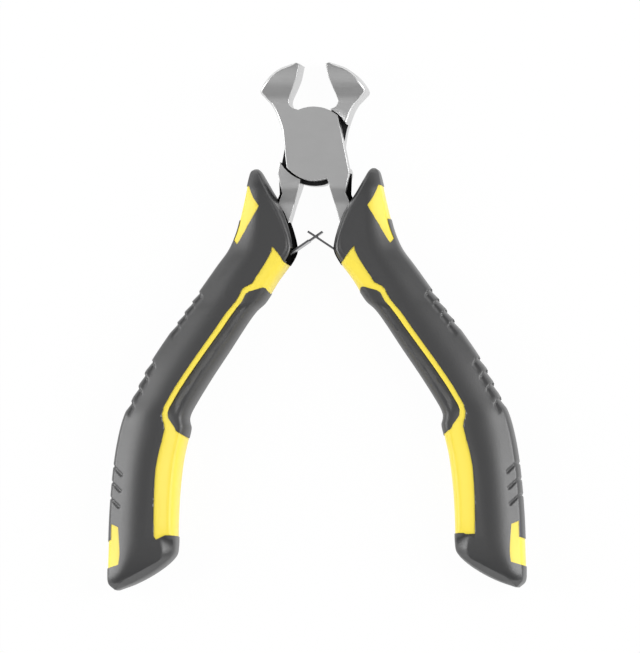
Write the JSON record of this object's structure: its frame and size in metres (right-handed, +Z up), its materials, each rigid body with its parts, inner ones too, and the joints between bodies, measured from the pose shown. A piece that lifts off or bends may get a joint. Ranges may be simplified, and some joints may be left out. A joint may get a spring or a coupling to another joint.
{
  "type": "end cutting nippers",
  "caption": "Small end cutting nippers with lapped steel levers, flush cutting jaws, crossed leaf springs that hold them open, and curved two-colour grips.",
  "frame": {"origin": "under the middle of the open tool, on the surface that it lies on", "axes": "+Y towards the jaws, +X towards the right grip seen from the front, +Z up out of the front face"},
  "size_m": [0.084, 0.105, 0.0109],
  "materials": {
    "ground_steel": "satin ground, black in the lap recesses",
    "rivet_steel": "satin",
    "spring_steel": "bright rolled",
    "yellow_plastic": "semi-gloss moulded",
    "grey_rubber": "matt moulded"
  },
  "bodies": {
    "rear_half": {"rear_lever": "ground_steel", "left_spring_leaf": "spring_steel", "left_spring_rivet": "rivet_steel", "left_grip_core": "yellow_plastic", "left_grip_cover": "grey_rubber", "left_finger_pad": "grey_rubber"},
    "front_half": {"front_lever": "ground_steel", "pivot_rivet": "rivet_steel", "right_spring_leaf": "spring_steel", "right_spring_rivet": "rivet_steel", "right_grip_core": "yellow_plastic", "right_grip_cover": "grey_rubber", "right_finger_pad": "grey_rubber"}
  },
  "joints": [
    {"name": "jaw_hinge", "type": "hinge", "parent": "rear_half", "child": "front_half", "pos_m": [0, 0.03635, 0.00543], "axis": [0, 0, -1], "range_deg": [0, 18.4], "stiffness_Nm_per_rad": 1, "deforming": ["left_spring_leaf", "right_spring_leaf"]}
  ]
}
